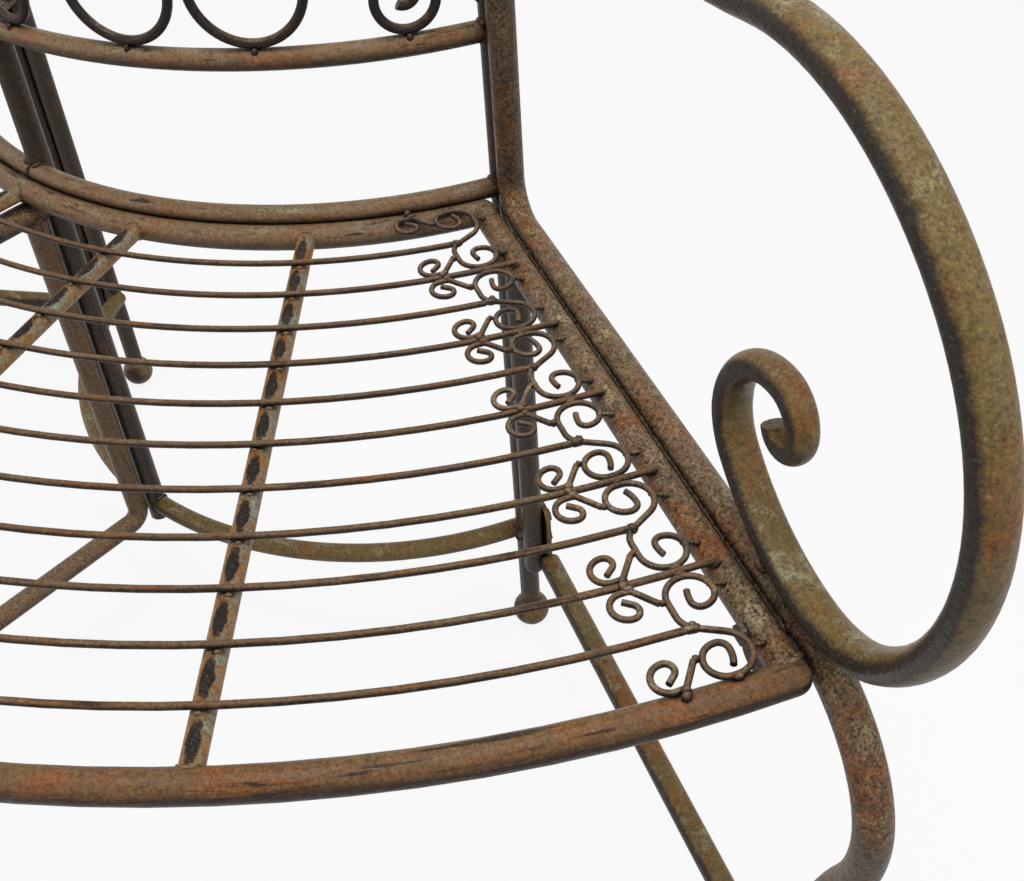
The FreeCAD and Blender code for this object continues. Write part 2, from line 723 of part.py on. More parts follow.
def lugs():
    """Plates under the right end rail, each with a bolt hole."""
    plates = []
    hole_z = RAIL_Z - mm("lug_drop") + mm("lug_width") / 2
    rail = Part.makeCylinder(mm("end_rail_tube") / 2, FRONT_RAIL, Vector(0, RAIL_Z, 0), Vector(1, 0, 0))
    for reach in (BACK_RAIL + mm("lug_inset"), FRONT_RAIL - mm("lug_inset")):
        plate = tongue(reach, RAIL_Z, hole_z, mm("lug_width"), 0, mm("lug_thick"))
        hole = Part.makeCylinder(mm("lug_hole") / 2, mm("lug_thick"),
                                 Vector(reach, hole_z, -mm("lug_thick") / 2), UP)
        plates.append(plate.cut(hole).cut(rail))
    return shaped("seat_lugs_blank", Part.makeCompound(plates), upright_plane(BAY, 0))


def build():
    rails, end_blank = seat_rails()
    front_foot, stretcher_bolts, seat_bolts = end_frames()
    bolts = shaped("seat_bolts_blank", seat_bolts, END_FRAME)
    both_sides("seat_end_rail", coped("seat_end_rail", end_blank, [bolts]))
    cross_bars(rails)
    seat_scrolls()
    seat_wires()
    posts = back_posts()
    feet = [ball_foot("foot_rear", END_FRAME.multVec(Vector(BACK_RADIUS, 0, 0))),
            ball_foot("foot_front", END_FRAME.multVec(front_foot))]
    feet += [mirror_image(item.Name + "_left", item) for item in feet]
    middle_foot = MIDDLE_FRAME.multVec(middle_frame())
    feet.append(ball_foot("foot_middle", middle_foot))
    group("ball_feet", feet)
    back_rails(posts)
    back_scrolls(posts)
    keep("back_post_middle", posts[1])
    both_sides("back_post", coped("back_post", posts[0], [feet[0]]))
    for node, right in (("seat_bolts", bolts),
                        ("stretcher_bolts", shaped("stretcher_bolts_blank", stretcher_bolts, END_FRAME)),
                        ("seat_lugs", lugs())):
        group(node, [right, mirror_image(node + "_left", right)])
    return Vector(middle_foot.x, middle_foot.y, 0)


def check_and_write(origin):
    doc.recompute()
    for item in doc.Objects:
        if "Invalid" in item.State or "Error" in item.State:
            raise RuntimeError("%s did not build" % item.Label)
    os.makedirs("parts", exist_ok=True)
    for node, item in nodes.items():
        if item.Shape.isNull() or not item.Shape.isValid():
            raise RuntimeError("%s has no valid shape" % node)
    for node, item in nodes.items():
        item.Shape.translated(origin * -1).exportStep("parts/%s.step" % node)
    print(len(nodes), "sub-parts written")


check_and_write(build())
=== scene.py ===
"""Looks of the tree bench: antiqued paint on steel tube and rod, weld beads, a dark fill in the end rails'
gaps and studio light.
"""
import math
import random

import bmesh
import bpy
from mathutils import Euler, Matrix, Vector


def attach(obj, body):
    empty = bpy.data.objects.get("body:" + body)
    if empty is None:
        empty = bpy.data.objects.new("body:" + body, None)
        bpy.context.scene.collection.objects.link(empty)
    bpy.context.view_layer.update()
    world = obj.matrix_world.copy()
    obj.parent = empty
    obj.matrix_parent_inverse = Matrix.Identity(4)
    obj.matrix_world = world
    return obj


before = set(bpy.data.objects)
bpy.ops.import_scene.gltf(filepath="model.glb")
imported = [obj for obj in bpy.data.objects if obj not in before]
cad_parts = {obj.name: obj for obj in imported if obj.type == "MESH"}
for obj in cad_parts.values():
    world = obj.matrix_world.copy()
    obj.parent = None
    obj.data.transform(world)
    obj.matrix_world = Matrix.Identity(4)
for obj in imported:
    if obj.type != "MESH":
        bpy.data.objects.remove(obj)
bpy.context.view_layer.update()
rng = random.Random(11)
MM = 0.001

# Layout of the bench, in millimetres and degrees, round the trunk axis
TRUNK = Vector((0, 814.33, 0))
BAY = 60
WIRE_Z = 456
RAIL_Z = 447
FRONT_RAIL = 751.2
BACK_RAIL = 333.2
BACK_RADIUS = 321.3
FIRST_WIRE = 376
WIRE_PITCH = 34
WIRES = 11
BAR_ANGLES = (-39.5, -18.9, 0, 18.9, 39.5)
SIDE_OFFSET = 19.1
MIDDLE_POST = 316.2
MIDDLE_REACH = 335.0
LEG_START = 727.5
MID_RAIL_Z = 568
TOP_RAIL_Z = 876
BOTTOM_RAIL_Z = 457
RING_Z = 118
SUPPORT_Z = 429.5
POST_ANGLE = 63.4
TUBE = {"rail": 8.5, "end_rail": 8.3, "bar": 6, "post": 8.5, "back": 7, "ring": 8, "side": 9, "rear_leg": 8.5}
UP = Vector((0, 0, 1))


def outward(angle):
    """Unit vector away from the trunk axis at a bench angle, counted from -Y towards +X."""
    turn = math.radians(angle)
    return Vector((math.sin(turn), -math.cos(turn), 0))


def around(angle):
    """Unit vector along the bench, towards larger bench angles."""
    turn = math.radians(angle)
    return Vector((math.cos(turn), math.sin(turn), 0))


def seat_end(reach, inset, height=WIRE_Z):
    """A point at the right seat end: along the end rail from the trunk axis, and in from its centre line."""
    return outward(BAY) * reach - around(BAY) * inset + UP * height


def end_frame(reach, height, offset=0.0):
    """A point in the plane of the right end frame; the offset is out from the seat."""
    return outward(BAY) * reach + around(BAY) * (SIDE_OFFSET + offset) + UP * height


def wire_radius(number):
    return FIRST_WIRE + (number - 1) * WIRE_PITCH


def reach_of(radius, inset):
    """How far along the end rail an arc of this radius is, where it is this far in from the rail."""
    return math.sqrt(radius ** 2 - inset ** 2)


# Materials: steel that was primed dark, sprayed brown, glazed with rust and dry-brushed with a pale bloom


def linear(code):
    """An sRGB hex colour as linear RGBA."""
    parts = [int(code[n:n + 2], 16) / 255 for n in (1, 3, 5)]
    return [c / 12.92 if c <= 0.04045 else ((c + 0.055) / 1.055) ** 2.4 for c in parts] + [1.0]


def add(tree, kind, inputs=None, **settings):
    """Add a node with its settings; each input is given a value or linked to a socket."""
    item = tree.nodes.new(kind)
    for key, value in settings.items():
        setattr(item, key, value)
    for key, value in (inputs or {}).items():
        if isinstance(value, bpy.types.NodeSocket):
            tree.links.new(value, item.inputs[key])
        else:
            item.inputs[key].default_value = value
    return item


def per_mm(size):
    """Texture scale, per metre, that gives a pattern this many millimetres across."""
    return 1 / (size * MM)


# The spray's real grit is under 0.5 mm, too fine to show from a step away, so it is drawn at 1.5 mm
GRIT_SIZE = 1.5
PIT_SIZE = 3.6
PIT_DEPTH = 1.2
CORNER_SIZE = 10
RUST_FADE = 0.18
BLOOM_AND_HIGHLIGHT_FADE = 0.2
PALE_GRIT = "#a6966a"
# Sizes of the marks in the colour, how much the streaks waver, and where and how strongly they turn dark
DABBED = {"mottle": 10, "streaks": 18, "waver": 1.0, "dark_from": 0.90, "dark_to": 1.02, "darkness": 0.7}
STROKED = {"mottle": 4, "streaks": 7, "waver": 0.6, "dark_from": 0.83, "dark_to": 0.92, "darkness": 0.88}


def antiqued_paint(name, ground, rust, bloom_and_highlight, shade_and_soot_colour, rust_from, bloom_and_highlight_from, shade, patch=48, pits=0.5,
                   grain=0.36, gloss=(0.26, 0.48), bars=False, arms=False, brushed=None):
    """Antique paint over primed steel: a brown ground, rust glaze in patches, a pale green-grey bloom
    dry-brushed on, with more of it on what faces up as a painted highlight, painted shade in corners and
    underneath, and a fine grit from the spray.

    rust_from and bloom_and_highlight_from are the noise levels where those layers begin, shade is the pair of
    upward facings between which the painted shade fades out, patch is the size of the rust patches, pits is
    the strength of the bumps, grain is the strength of the grit, and gloss is the range of roughness of the
    satin lacquer.
    bars and arms add the marks of those pieces. brushed stretches the strokes round the trunk, out from it
    and upwards, where the brush ran along the tubes; without it the colour is dabbed on.
    """
    material = bpy.data.materials.new(name)
    material.use_nodes = True
    tree = material.node_tree
    tree.nodes.clear()
    place = add(tree, "ShaderNodeTexCoord").outputs["Object"]
    normal = add(tree, "ShaderNodeNewGeometry").outputs["Normal"]
    facing = add(tree, "ShaderNodeSeparateXYZ", {0: normal}).outputs
    if bars or brushed:
        spoke = add(tree, "ShaderNodeVectorMath", {0: place, 1: TRUNK * MM}, operation="SUBTRACT").outputs[0]
        flat = add(tree, "ShaderNodeVectorMath", {0: spoke, 1: (1, 1, 0)}, operation="MULTIPLY").outputs[0]
        radius = add(tree, "ShaderNodeVectorMath", {0: flat}, operation="LENGTH").outputs["Value"]
    marks, strokes = DABBED, place
    if brushed:
        marks = STROKED
        offset = add(tree, "ShaderNodeSeparateXYZ", {0: spoke}).outputs
        forward = add(tree, "ShaderNodeMath", {0: offset["Y"], 1: -1.0}, operation="MULTIPLY").outputs[0]
        turn = add(tree, "ShaderNodeMath", {0: offset["X"], 1: forward}, operation="ARCTAN2").outputs[0]
        arc = add(tree, "ShaderNodeMath", {0: turn, 1: FRONT_RAIL * MM}, operation="MULTIPLY").outputs[0]
        grid = add(tree, "ShaderNodeCombineXYZ", {"X": arc, "Y": radius, "Z": offset["Z"]}).outputs[0]
        strokes = add(tree, "ShaderNodeVectorMath", {0: grid, 1: brushed}, operation="DIVIDE").outputs[0]

    patches = add(tree, "ShaderNodeTexNoise", {
        "Vector": place, "Scale": per_mm(patch), "Detail": 4, "Roughness": 0.6,
        "Distortion": 0.6}).outputs["Fac"]
    grit = add(tree, "ShaderNodeTexNoise", {
        "Vector": place, "Scale": per_mm(GRIT_SIZE), "Detail": 3, "Roughness": 0.65}).outputs["Fac"]
    pit = add(tree, "ShaderNodeTexNoise", {
        "Vector": place, "Scale": per_mm(PIT_SIZE), "Detail": 2, "Roughness": 0.5}).outputs["Fac"]
    mottle = add(tree, "ShaderNodeTexNoise", {
        "Vector": strokes, "Scale": per_mm(marks["mottle"]), "Detail": 5, "Roughness": 0.62}).outputs["Fac"]
    streaks = add(tree, "ShaderNodeTexNoise", {
        "Vector": strokes, "Scale": per_mm(marks["streaks"]), "Detail": 5, "Roughness": 0.68,
        "Distortion": marks["waver"]}).outputs["Fac"]
    # How open each point is, for the painted shade in corners
    open_sky = add(tree, "ShaderNodeAmbientOcclusion", {"Distance": CORNER_SIZE * MM},
                   samples=8).outputs["AO"]

    # Rust glaze over the ground
    rust_level = add(tree, "ShaderNodeMath", {0: mottle, 1: 0.4, 2: patches},
                     operation="MULTIPLY_ADD").outputs[0]
    rusted = add(tree, "ShaderNodeMapRange", {
        "Value": rust_level, "From Min": rust_from, "From Max": rust_from + RUST_FADE}).outputs["Result"]
    colour = add(tree, "ShaderNodeMix", {0: rusted, 6: linear(ground), 7: linear(rust)},
                 data_type="RGBA").outputs[2]

    # Pale bloom, partly dust and partly a painted highlight: more of it on what faces up
    facing_dust_and_highlight = add(tree, "ShaderNodeMapRange", {
        "Value": facing["Z"], "From Min": -0.5, "From Max": 0.9, "To Min": -0.12,
        "To Max": 0.08}).outputs["Result"]
    if bars:
        # On the bars the pale colour also grows towards their right-hand sides
        right_side_paler = add(tree, "ShaderNodeMapRange", {
            "Value": facing["X"], "From Min": -0.3, "From Max": 0.6, "To Min": -0.10,
            "To Max": 0.12}).outputs["Result"]
        facing_dust_and_highlight = add(tree, "ShaderNodeMath", {0: facing_dust_and_highlight, 1: right_side_paler}, operation="ADD").outputs[0]
    gritty = add(tree, "ShaderNodeMath", {0: grit, 1: 0.2, 2: streaks}, operation="MULTIPLY_ADD").outputs[0]
    bloom_level = add(tree, "ShaderNodeMath", {0: gritty, 1: facing_dust_and_highlight}, operation="ADD").outputs[0]
    bloom_and_highlight_share = add(tree, "ShaderNodeMapRange", {
        "Value": bloom_level, "From Min": bloom_and_highlight_from, "From Max": bloom_and_highlight_from + BLOOM_AND_HIGHLIGHT_FADE}).outputs["Result"]
    colour = add(tree, "ShaderNodeMix", {0: bloom_and_highlight_share, 6: colour, 7: linear(bloom_and_highlight)}, data_type="RGBA").outputs[2]

    # Painted shade underneath, with an uneven edge, and in corners; soot in single strokes
    both_marks = add(tree, "ShaderNodeMath", {0: mottle, 1: streaks}, operation="ADD").outputs[0]
    uneven = add(tree, "ShaderNodeMath", {0: both_marks, 1: 0.9, 2: -0.9},
                 operation="MULTIPLY_ADD").outputs[0]
    height_facing = add(tree, "ShaderNodeMath", {0: facing["Z"], 1: uneven}, operation="ADD").outputs[0]
    painted_shade_and_soot = add(tree, "ShaderNodeMapRange", {
        "Value": height_facing, "From Min": shade[0], "From Max": shade[1], "To Min": 0.94,
        "To Max": 0.0}).outputs["Result"]
    in_corner = add(tree, "ShaderNodeMapRange", {
        "Value": open_sky, "From Min": 0.30, "From Max": 0.85, "To Min": 0.95,
        "To Max": 0.0}).outputs["Result"]
    painted_shade_and_soot = add(tree, "ShaderNodeMath", {0: painted_shade_and_soot, 1: in_corner}, operation="MAXIMUM").outputs[0]
    stroke_level = add(tree, "ShaderNodeMath", {0: streaks, 1: 0.5, 2: mottle},
                       operation="MULTIPLY_ADD").outputs[0]
    dark_stroke = add(tree, "ShaderNodeMapRange", {
        "Value": stroke_level, "From Min": marks["dark_from"], "From Max": marks["dark_to"],
        "To Max": marks["darkness"]}).outputs["Result"]
    painted_shade_and_soot = add(tree, "ShaderNodeMath", {0: painted_shade_and_soot, 1: dark_stroke}, operation="MAXIMUM").outputs[0]
    if arms:
        # The sides turned to the seat are drawn dark, with an uneven edge
        side_x, side_y = around(BAY)[:2]
        across = add(tree, "ShaderNodeSeparateXYZ", {0: place}).outputs["X"]
        half = add(tree, "ShaderNodeMath", {0: across}, operation="SIGN").outputs[0]
        mirrored = add(tree, "ShaderNodeMath", {0: facing["X"], 1: half}, operation="MULTIPLY").outputs[0]
        away = add(tree, "ShaderNodeMath", {0: facing["Y"], 1: side_y}, operation="MULTIPLY").outputs[0]
        away = add(tree, "ShaderNodeMath", {0: mirrored, 1: side_x, 2: away},
                   operation="MULTIPLY_ADD").outputs[0]
        away = add(tree, "ShaderNodeMath", {0: uneven, 1: 0.35, 2: away}, operation="MULTIPLY_ADD").outputs[0]
        to_seat = add(tree, "ShaderNodeMapRange", {
            "Value": away, "From Min": -0.84, "From Max": -0.58, "To Min": 0.93,
            "To Max": 0.0}).outputs["Result"]
        painted_shade_and_soot = add(tree, "ShaderNodeMath", {0: painted_shade_and_soot, 1: to_seat}, operation="MAXIMUM").outputs[0]
    if bars:
        # The brush that laid the seat wires' colour missed the bars' tops midway between the wires
        pitches = add(tree, "ShaderNodeMath", {0: radius, 1: per_mm(WIRE_PITCH), 2: -FIRST_WIRE / WIRE_PITCH},
                      operation="MULTIPLY_ADD").outputs[0]
        from_wire = add(tree, "ShaderNodeMath", {0: pitches, 1: 0.5}, operation="PINGPONG").outputs[0]
        missed = add(tree, "ShaderNodeMath", {0: facing["Z"], 1: 2.1, 2: from_wire},
                     operation="MULTIPLY_ADD").outputs[0]
        ragged = add(tree, "ShaderNodeMath", {0: grit, 1: 0.8, 2: pit}, operation="MULTIPLY_ADD").outputs[0]
        missed = add(tree, "ShaderNodeMath", {0: ragged, 1: 0.6, 2: missed},
                     operation="MULTIPLY_ADD").outputs[0]
        bare = add(tree, "ShaderNodeMapRange", {
            "Value": missed, "From Min": 2.70, "From Max": 2.82, "To Max": 0.98}).outputs["Result"]
        painted_shade_and_soot = add(tree, "ShaderNodeMath", {0: painted_shade_and_soot, 1: bare}, operation="MAXIMUM").outputs[0]
    colour = add(tree, "ShaderNodeMix", {0: painted_shade_and_soot, 6: colour, 7: linear(shade_and_soot_colour)}, data_type="RGBA").outputs[2]

    # Grit: a light and dark grain all over, dark specks in clusters and pale specks on what faces up
    coarse = add(tree, "ShaderNodeMath", {0: pit, 1: 0.7, 2: grit}, operation="MULTIPLY_ADD").outputs[0]
    worn = add(tree, "ShaderNodeMapRange", {
        "Value": coarse, "From Min": 0.62, "From Max": 1.08, "To Min": 1 - 1.1 * grain,
        "To Max": 1 + 0.9 * grain}).outputs["Result"]
    colour = add(tree, "ShaderNodeVectorMath", {0: colour, "Scale": worn}, operation="SCALE").outputs[0]
    clustered = add(tree, "ShaderNodeMapRange", {
        "Value": streaks, "From Min": 0.35, "From Max": 0.62, "To Min": 0.35}).outputs["Result"]
    dark_grit = add(tree, "ShaderNodeMapRange", {
        "Value": grit, "From Min": 0.32, "From Max": 0.46, "To Min": 1.5 * grain,
        "To Max": 0.0}).outputs["Result"]
    dark_specks = add(tree, "ShaderNodeMath", {0: dark_grit, 1: clustered}, operation="MULTIPLY").outputs[0]
    colour = add(tree, "ShaderNodeMix", {0: dark_specks, 6: colour, 7: linear(shade_and_soot_colour)},
                 data_type="RGBA").outputs[2]
    upward = add(tree, "ShaderNodeMapRange", {
        "Value": facing["Z"], "From Min": -0.3, "From Max": 0.5}).outputs["Result"]
    light_grit = add(tree, "ShaderNodeMapRange", {
        "Value": grit, "From Min": 0.56, "From Max": 0.74, "To Max": 0.8 * grain}).outputs["Result"]
    pale_specks = add(tree, "ShaderNodeMath", {0: light_grit, 1: upward}, operation="MULTIPLY").outputs[0]
    colour = add(tree, "ShaderNodeMix", {0: pale_specks, 6: colour, 7: linear(PALE_GRIT)},
                 data_type="RGBA").outputs[2]

    # Relief of grit, pits and brush marks under a satin lacquer
    relief = add(tree, "ShaderNodeMath", {0: mottle, 1: 0.6, 2: pit}, operation="MULTIPLY_ADD").outputs[0]
    relief = add(tree, "ShaderNodeMath", {0: grit, 1: 0.6, 2: relief}, operation="MULTIPLY_ADD").outputs[0]
    bump = add(tree, "ShaderNodeBump", {
        "Strength": pits, "Distance": PIT_DEPTH * MM, "Height": relief}).outputs["Normal"]
    dulled = add(tree, "ShaderNodeMath", {0: grit, 1: 0.4, 2: mottle}, operation="MULTIPLY_ADD").outputs[0]
    satin = add(tree, "ShaderNodeMapRange", {
        "Value": dulled, "From Min": 0.45, "From Max": 0.95, "To Min": gloss[0],
        "To Max": gloss[1]}).outputs["Result"]
    shader = add(tree, "ShaderNodeBsdfPrincipled", {
        "Base Color": colour, "Roughness": satin, "Normal": bump, "IOR": 1.5, "Specular IOR Level": 0.2})
    add(tree, "ShaderNodeOutputMaterial", {"Surface": shader.outputs[0]})
    return material


# Upward facings between which the painted shade fades out, and the stretch of the strokes
UNDERSIDE = (-0.50, 0.42)
ROUND_ROD = (0.55, 1.02)
LOWER_EDGE = (0.20, 0.62)
ROUND_STROKES = (14, 1, 1)
UPRIGHT_STROKES = (1, 1, 14)
# Near black of the painted shade underneath and in corners, and of the soot strokes and dark specks
SHADE_AND_SOOT_COLOUR = "#1b1311"
BROWN = {"ground": "#876b4e", "rust": "#8f5f39", "bloom_and_highlight": "#989070", "shade_and_soot_colour": SHADE_AND_SOOT_COLOUR, "rust_from": 0.72,
         "bloom_and_highlight_from": 0.68, "shade": UNDERSIDE, "grain": 0.30}

# Brushed brown paint of the curved rails: a warm mid brown with pale and dark strokes along the tubes
brown = antiqued_paint("antiqued_paint_brown", **BROWN, brushed=ROUND_STROKES)
# The same brown on the middle rear leg, with its strokes running down the tube
leg_brown = antiqued_paint("antiqued_paint_leg_brown", **BROWN, brushed=UPRIGHT_STROKES)
# Darker brown on posts and rear legs, with little bloom: the frame looks heavy behind the seat
dark = antiqued_paint(
    "antiqued_paint_dark", ground="#4f4133", rust="#6c482d", bloom_and_highlight="#7f795e", shade_and_soot_colour=SHADE_AND_SOOT_COLOUR, rust_from=0.72,
    bloom_and_highlight_from=0.68, shade=UNDERSIDE, grain=0.30, brushed=UPRIGHT_STROKES)
# Rust glaze on the front rail: orange brown in long strokes, and painted shade, near black, on the lower edge
# that makes it look round
rusty = antiqued_paint(
    "antiqued_paint_rust", ground="#78583a", rust="#8a562e", bloom_and_highlight="#847146", shade_and_soot_colour="#261915", rust_from=0.68,
    bloom_and_highlight_from=0.69, shade=LOWER_EDGE, patch=30, grain=0.30, brushed=ROUND_STROKES)
# Seat wires, brushed along: brown on top and near-black painted shade below, which draws them as thin dark
# lines
wires = antiqued_paint(
    "antiqued_paint_wires", ground="#745940", rust="#7f5430", bloom_and_highlight="#88744c", shade_and_soot_colour=SHADE_AND_SOOT_COLOUR, rust_from=0.70,
    bloom_and_highlight_from=0.72, shade=(0.28, 0.90), patch=34, grain=0.30, brushed=ROUND_STROKES)
# Bent rods of the scrolls: a pale brown ridge of painted highlight on top, between sides in near-black
# painted shade
rods = antiqued_paint(
    "antiqued_paint_rods", ground="#776049", rust="#8c5f36", bloom_and_highlight="#a4987a", shade_and_soot_colour="#1a1211", rust_from=0.72,
    bloom_and_highlight_from=0.72, shade=ROUND_ROD, patch=30, pits=0.35, grain=0.28)
# Cross bars: bright ochre and grey-green with black primer left bare between the wires
bar_paint = antiqued_paint(
    "antiqued_paint_bars", ground="#94693a", rust="#a06c3a", bloom_and_highlight="#908f7c", shade_and_soot_colour="#120d0c", rust_from=0.66,
    bloom_and_highlight_from=0.66, shade=(-0.9, -0.2), patch=30, bars=True)
# Side rails and front legs: coarse grain with pale verdigris, which makes them look weathered
verdigris = antiqued_paint(
    "antiqued_paint_verdigris", ground="#7e6448", rust="#87542d", bloom_and_highlight="#aa9e76", shade_and_soot_colour="#1f1513",
    rust_from=0.68, bloom_and_highlight_from=0.71, shade=(-0.40, 0.50), pits=0.9, grain=0.68)
# Armrests, stretchers and feet: an olive ground with wide rust patches, dark on the sides turned to the seat
olive = antiqued_paint(
    "antiqued_paint_olive", ground="#78633a", rust="#85582f", bloom_and_highlight="#a29b78", shade_and_soot_colour="#1f1513", rust_from=0.68,
    bloom_and_highlight_from=0.71, shade=(-0.70, 0.25), patch=60, pits=0.6, grain=0.34, arms=True)
# Zinc-plated bolts and lugs sprayed over with the frame: dull grey brown with no satin
fastener = antiqued_paint(
    "painted_zinc_fasteners", ground="#584a3c", rust="#7d5335", bloom_and_highlight="#8f8a72", shade_and_soot_colour=SHADE_AND_SOOT_COLOUR, rust_from=0.72,
    bloom_and_highlight_from=0.66, shade=UNDERSIDE, patch=20, gloss=(0.65, 0.85))

FINISHES = (
    (("seat_front_rail",), rusty),
    (("seat_cross_bar",), bar_paint),
    (("seat_wire",), wires),
    (("seat_s_scrolls", "seat_j_scrolls", "lyre_scrolls", "side_scrolls", "corner_strut"), rods),
    (("side_rail", "front_leg", "seat_end_rail", "middle_support_rail"), verdigris),
    (("armrest", "ball_feet", "ring_stretcher", "radial_stretcher"), olive),
    (("back_post", "rear_leg"), dark),
    (("middle_rear_leg",), leg_brown),
    (("seat_bolts", "stretcher_bolts", "seat_lugs"), fastener),
)


def finish_of(node):
    for stems, material in FINISHES:
        if node.startswith(stems):
            return material
    return brown


for node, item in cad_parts.items():
    item.data.materials.clear()
    item.data.materials.append(finish_of(node))
    item.data.polygons.foreach_set("use_smooth", [True] * len(item.data.polygons))

# Weld beads: every joint of the bench is tacked or run round with small lumps of weld under the paint

LUMP_SEGMENTS, LUMP_RINGS = 8, 5
LUMP_SPREAD = (0.85, 1.15)
LUMP_DENTS = (0.9, 1.1)
PEG_LUMPS = 4
# Along a bead: the fewest lumps, their spacing in lump sizes, how far they stray, and their sizes and stretch
BEAD_LUMPS = 8
BEAD_STEP = 1.5
BEAD_STRAY = (-0.4, 0.4)
BEAD_SPREAD = (0.6, 1.15)
BEAD_STRETCH = 1.8


class Welds:
    """Lumps of weld that make one piece."""

    def __init__(self):
        self.mesh = bmesh.new()

    def lump(self, centre, size, axis=UP, stretch=1.0):
        """One lump, in millimetres, a little uneven, longer along the axis by the stretch."""
        turn = axis.to_track_quat("Z", "Y").to_matrix().to_4x4()
        uneven = [size * rng.uniform(*LUMP_SPREAD) for _ in range(3)]
        uneven[2] *= stretch
        scale = Matrix.Diagonal(Vector((*uneven, 1)))
        middle = (centre + TRUNK) * MM
        shape = Matrix.Translation(middle) @ turn @ scale @ Matrix.Rotation(rng.uniform(0, 6.28), 4, "Z")
        made = bmesh.ops.create_uvsphere(self.mesh, u_segments=LUMP_SEGMENTS, v_segments=LUMP_RINGS,
                                         radius=MM, matrix=shape)
        for vert in made["verts"]:
            vert.co = middle + (vert.co - middle) * rng.uniform(*LUMP_DENTS)

    def peg(self, start, end, radius):
        """A short drawn-out bead between two points, thicker where it lands."""
        for step in range(PEG_LUMPS):
            share = step / (PEG_LUMPS - 1)
            self.lump(start.lerp(end, share), radius * (0.85 + 0.35 * share), end - start, 1.5)

    def run(self, centre, along, across, radius, host, size, lift=0.0):
        """A bead round a tube that runs into a host tube.

        centre is on the host's axis, along points into the tube, across is the host's own direction, and
        lift is how far the tube's axis passes above the host's.
        """
        aside = along.cross(across)
        count = max(BEAD_LUMPS, int(2 * math.pi * radius / (size * BEAD_STEP)))
        for step in range(count):
            turn = 2 * math.pi * (step + rng.uniform(*BEAD_STRAY)) / count
            rise = radius * math.sin(turn) + lift
            depth = math.sqrt(max(host ** 2 - rise ** 2, 0))
            place = centre + along * depth + across * (radius * math.cos(turn)) + aside * rise
            self.lump(place, size * rng.uniform(*BEAD_SPREAD),
                      aside * math.cos(turn) - across * math.sin(turn), BEAD_STRETCH)

    def ring(self, centre, axis, radius, size):
        """A bead round a butt joint."""
        side = axis.orthogonal().normalized()
        other = axis.cross(side)
        count = max(BEAD_LUMPS, int(2 * math.pi * radius / (size * BEAD_STEP)))
        for step in range(count):
            turn = 2 * math.pi * (step + rng.uniform(*BEAD_STRAY)) / count
            place = centre + (side * math.cos(turn) + other * math.sin(turn)) * radius
            self.lump(place, size * rng.uniform(*BEAD_SPREAD),
                      other * math.cos(turn) - side * math.sin(turn), BEAD_STRETCH)

    def mirror(self):
        """Repeat the lumps on the left half of the bench."""
        bmesh.ops.mirror(self.mesh, geom=self.mesh.verts[:] + self.mesh.edges[:] + self.mesh.faces[:],
                         matrix=Matrix.Identity(4), merge_dist=0, axis="X")

    def piece(self, name, material):
        """Close the mesh as a piece that rides on the bench."""
        bmesh.ops.recalc_face_normals(self.mesh, faces=self.mesh.faces[:])
        for face in self.mesh.faces:
            face.smooth = True
        mesh = bpy.data.meshes.new(name)
        self.mesh.to_mesh(mesh)
        self.mesh.free()
        mesh.materials.append(material)
        item = bpy.data.objects.new(name, mesh)
        bpy.context.scene.collection.objects.link(item)
        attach(item, "root")
        return item


def seat_scroll_welds():
    """Tacks and pegs of the scrollwork at the right seat end, then at the left."""
    welds = Welds()
    # Where an S scroll passes the end rail and the wires, from its middle
    perch, rail_pass, rail_side = 12.7, 18.1, -19.0
    wire_pass, wire_side = (31.9, 25.9), (-31.9, 23.9)
    s_middle, s_arm, wire_stop, wire_end = 31, 7.6, 37.5, 6
    # Where the J scrolls leave their wire and where their tails end, and the rails that hold the outer ones
    j_reach, j_end, j_rails = 51.5, (16.8, 38.8), {0: 334.4, WIRES + 1: 750}
    for number in range(1, WIRES + 1, 2):
        hand = -1 if number % 4 == 1 else 1
        base = reach_of(wire_radius(number), wire_pass[1])
        run = s_arm if number == 1 else 0
        stop = reach_of(wire_radius(number), wire_stop)
        welds.peg(seat_end(stop, wire_stop), seat_end(base, s_middle + 1, WIRE_Z + 0.3), 2.1)
        welds.lump(seat_end(base - hand * 1.2, s_middle + 0.8, WIRE_Z + 0.8), 2.5)
        for reach in (rail_pass + run, rail_side):
            place = base + hand * reach + rng.uniform(-2.5, 2.5)
            welds.peg(seat_end(place, perch + 0.5, WIRE_Z - 0.4),
                      seat_end(place + rng.uniform(-1.5, 1.5), 5.8, RAIL_Z + 6.4), 1.45)
        for reach, inset in ((wire_pass[0] + run, wire_pass[1]), wire_side):
            welds.lump(seat_end(base + hand * reach, inset, WIRE_Z + 0.6), 2.1, around(BAY), 1.6)
    for unit in range(0, WIRES + 2, 2):
        base = reach_of(j_rails.get(unit, wire_radius(unit)), j_reach)
        welds.lump(seat_end(base + rng.uniform(-1, 1), j_reach, WIRE_Z + 0.9), 2.7)
        for direction in (-1, 1):
            if 0 < unit <= WIRES or direction == (1 if unit == 0 else -1):
                welds.lump(seat_end(base + direction * 3.2, j_reach - 1.5, WIRE_Z + 0.7), 2.0,
                           around(BAY), 1.5)
                welds.lump(seat_end(base + direction * j_end[0], j_end[1], WIRE_Z + 0.3), 2.1)
    for number in range(2, WIRES, 2):
        base = reach_of(wire_radius(number), wire_end)
        welds.peg(seat_end(base, 9.5, WIRE_Z - 1.0),
                  seat_end(base + rng.uniform(-2, 2), 4.4, RAIL_Z + 7.4), 2.0)
    welds.mirror()
    return welds.piece("weld_tacks_seat_scrolls", rods)


